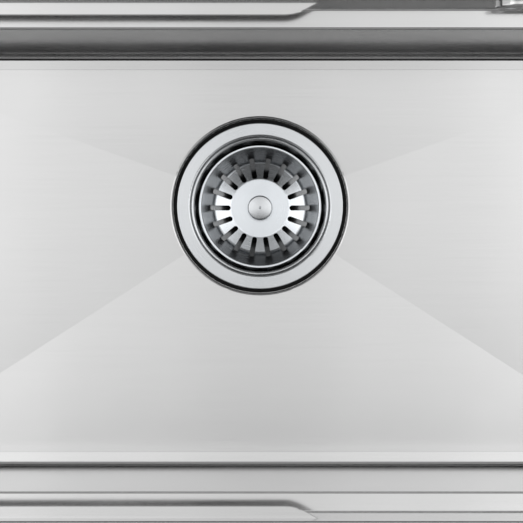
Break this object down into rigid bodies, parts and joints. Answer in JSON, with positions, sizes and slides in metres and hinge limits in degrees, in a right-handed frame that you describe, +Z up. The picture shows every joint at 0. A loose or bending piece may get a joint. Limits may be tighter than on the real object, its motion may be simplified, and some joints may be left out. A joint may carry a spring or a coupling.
{
  "type": "kitchen sink",
  "caption": "Single-bowl stainless workstation sink for under-worktop fitting: creased floor, front and rear accessory ledges, upper rails, overflow and a lift-out basket strainer.",
  "frame": {"origin": "middle of the rim's top face, in the plane that meets the underside of the worktop", "axes": "+X to the right along the sink's length, +Y to the rear, +Z up"},
  "size_m": [0.748, 0.454, 0.407],
  "materials": {
    "satin_stainless": "fine satin brush, grey coat on the outside of the bowl",
    "strainer_stainless": "bright satin",
    "zinc_plated_steel": "zinc plated",
    "black_rubber": "matt",
    "sound_pad": "matt, pebbled",
    "moulded_plastic": "moulded, satin",
    "slip_washer_plastic": "matt",
    "nylon": "satin"
  },
  "bodies": {
    "sink": {"bowl_shell": "satin_stainless", "deck_frame": "satin_stainless", "rear_rail": "satin_stainless", "front_rail": "satin_stainless", "floor_pad_front": "sound_pad", "floor_pad_left": "sound_pad", "floor_pad_right": "sound_pad", "wall_pad_rear": "sound_pad", "wall_pad_front": "sound_pad", "wall_pad_left": "sound_pad", "wall_pad_right": "sound_pad", "strainer_cup": "strainer_stainless", "flange_seal": "black_rubber", "under_gasket": "black_rubber", "friction_washer": "slip_washer_plastic", "locknut": "moulded_plastic", "tailpiece_gasket": "black_rubber", "branch_tailpiece": "moulded_plastic", "coupling_nut": "moulded_plastic", "overflow_cover": "strainer_stainless", "overflow_gasket": "black_rubber", "overflow_housing": "moulded_plastic", "overflow_screws": "strainer_stainless", "clip_brackets": "zinc_plated_steel", "clip_studs": "zinc_plated_steel", "clip_wing_nuts": "zinc_plated_steel"},
    "snap_bush": {"snap_bush": "nylon"},
    "basket": {"basket_shell": "strainer_stainless", "basket_knob": "strainer_stainless", "stopper": "black_rubber", "stopper_washer": "strainer_stainless", "post_nut": "strainer_stainless"}
  },
  "joints": [
    {"name": "basket_lift", "type": "slide", "parent": "sink", "child": "snap_bush", "axis": [0, 0, 1], "range_m": [0, 0.33]},
    {"name": "basket_spin", "type": "hinge", "parent": "snap_bush", "child": "basket", "pos_m": [0, 0.044, -0.3095], "axis": [0, 0, 1], "continuous": true}
  ]
}
